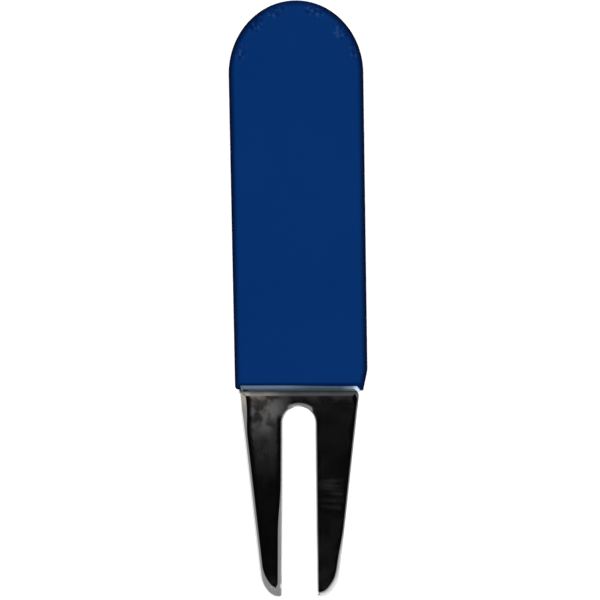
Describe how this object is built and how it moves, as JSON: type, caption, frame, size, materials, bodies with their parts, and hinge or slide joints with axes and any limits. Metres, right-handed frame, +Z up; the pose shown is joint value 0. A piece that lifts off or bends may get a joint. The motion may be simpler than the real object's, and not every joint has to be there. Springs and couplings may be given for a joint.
{
  "type": "divot repair tool",
  "caption": "Flat forked divot repair tool in plated steel, with a round-ended handle of blue vinyl sealed over its tang.",
  "frame": {"origin": "middle of the tool's length and width, on the surface it lies on with its front face up", "axes": "+Y along the tool from the prong tips to the round end of the handle, +Z up out of the front face, +X to the right when the handle points away"},
  "size_m": [0.019, 0.0826, 0.0031],
  "materials": {
    "plated_steel": "bright nickel plate over tumbled steel, rounded edges, fine handling scratches",
    "blue_vinyl": "satin heat-sealed vinyl sheet with a very fine grain"
  },
  "bodies": {
    "root": {"fork_blade": "plated_steel", "front_cover": "blue_vinyl", "back_cover": "blue_vinyl"}
  },
  "joints": []
}
